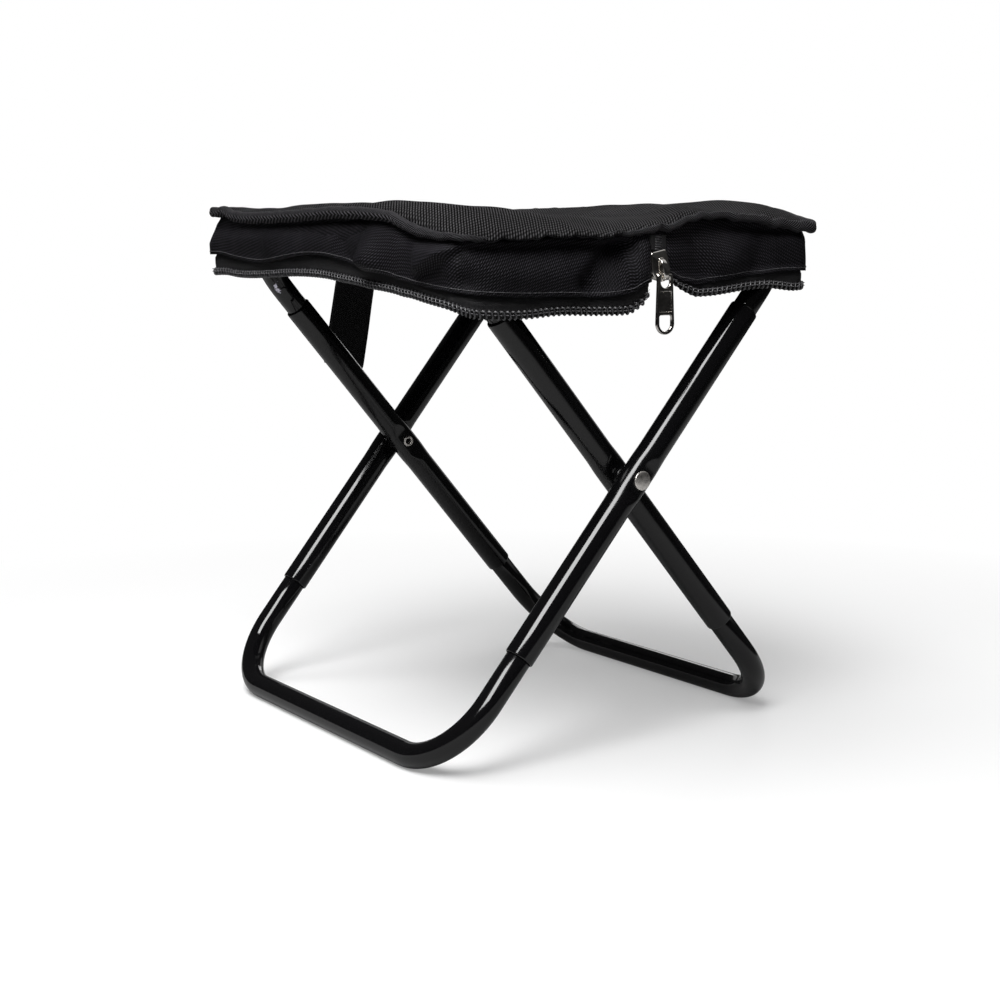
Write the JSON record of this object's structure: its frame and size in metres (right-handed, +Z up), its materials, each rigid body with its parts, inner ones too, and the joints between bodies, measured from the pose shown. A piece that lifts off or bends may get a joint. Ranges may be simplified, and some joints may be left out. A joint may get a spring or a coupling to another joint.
{
  "type": "folding stool",
  "caption": "Folding camp stool with crossed painted tube frames, a soft zip-round cloth seat case, a metal zip pull and a webbing carry strap.",
  "frame": {"origin": "on the floor, midway between the two pivots, at the bottom centre of the bounding box", "axes": "+X along the pivot axis towards the side with the zip pull, -Y to the front, where the outer frame stands, +Z up"},
  "size_m": [0.3042, 0.2502, 0.3002],
  "materials": {
    "frame_paint": "gloss black powder coat on steel tube",
    "nickel": "bright nickel plating, lightly soiled",
    "seat_cloth": "black coated Oxford weave",
    "zip_tape": "black woven zip tape",
    "zip_coil": "black nylon coil, slight sheen",
    "webbing": "black ribbed webbing"
  },
  "bodies": {
    "outer_frame": {"outer_upper_bow": "frame_paint", "outer_lower_bow": "frame_paint", "outer_sleeve_right": "frame_paint", "outer_sleeve_left": "frame_paint", "rivet_right": "nickel", "rivet_left": "nickel", "spacer_right": "frame_paint", "spacer_left": "frame_paint", "rail_tunnel_back": "seat_cloth", "seat_panel": "seat_cloth", "binding_roll": "seat_cloth", "front_gusset": "seat_cloth", "back_gusset": "seat_cloth", "front_zip_tape": "zip_tape", "back_zip_tape": "zip_tape", "front_zip_chain": "zip_coil", "back_zip_chain": "zip_coil", "zip_open_end": "zip_tape", "zip_far_end": "zip_tape"},
    "inner_frame": {"inner_upper_bow": "frame_paint", "inner_lower_bow": "frame_paint", "inner_sleeve_right": "frame_paint", "inner_sleeve_left": "frame_paint", "rail_tunnel_front": "seat_cloth"},
    "zip_slider": {"zip_slider": "nickel"},
    "pull_tab": {"pull_tab": "nickel"},
    "strap_anchor": {"strap_root": "webbing"},
    "carry_strap": {"carry_strap": "webbing"}
  },
  "joints": [
    {"name": "frame_fold", "type": "hinge", "parent": "outer_frame", "child": "inner_frame", "pos_m": [0, 0, 0.1483], "axis": [-1, 0, 0], "range_deg": [0, 72], "deforming": ["seat_panel", "binding_roll", "front_gusset", "back_gusset", "front_zip_tape", "back_zip_tape", "front_zip_chain", "back_zip_chain", "zip_open_end", "zip_far_end"]},
    {"name": "slider_shift", "type": "slide", "parent": "outer_frame", "child": "zip_slider", "axis": [0, 0.984, 0.178], "range_m": [0, 0.0826]},
    {"name": "tab_swing", "type": "hinge", "parent": "zip_slider", "child": "pull_tab", "pos_m": [0.1495, 0.00637, 0.2562], "axis": [0, -1, 0], "range_deg": [0, 110]},
    {"name": "strap_shift", "type": "slide", "parent": "outer_frame", "child": "strap_anchor", "axis": [0, 0.984, 0.178], "range_m": [0, 0.0965]},
    {"name": "strap_swing", "type": "hinge", "parent": "strap_anchor", "child": "carry_strap", "pos_m": [-0.1521, -0.015, 0.26415], "axis": [0, 0.9945, -0.1045], "range_deg": [0, 100]}
  ],
  "couplings": [
    {"joint": "slider_shift", "follows": "frame_fold", "m_per_rad": 0.06568},
    {"joint": "strap_shift", "follows": "frame_fold", "m_per_rad": 0.07673}
  ]
}
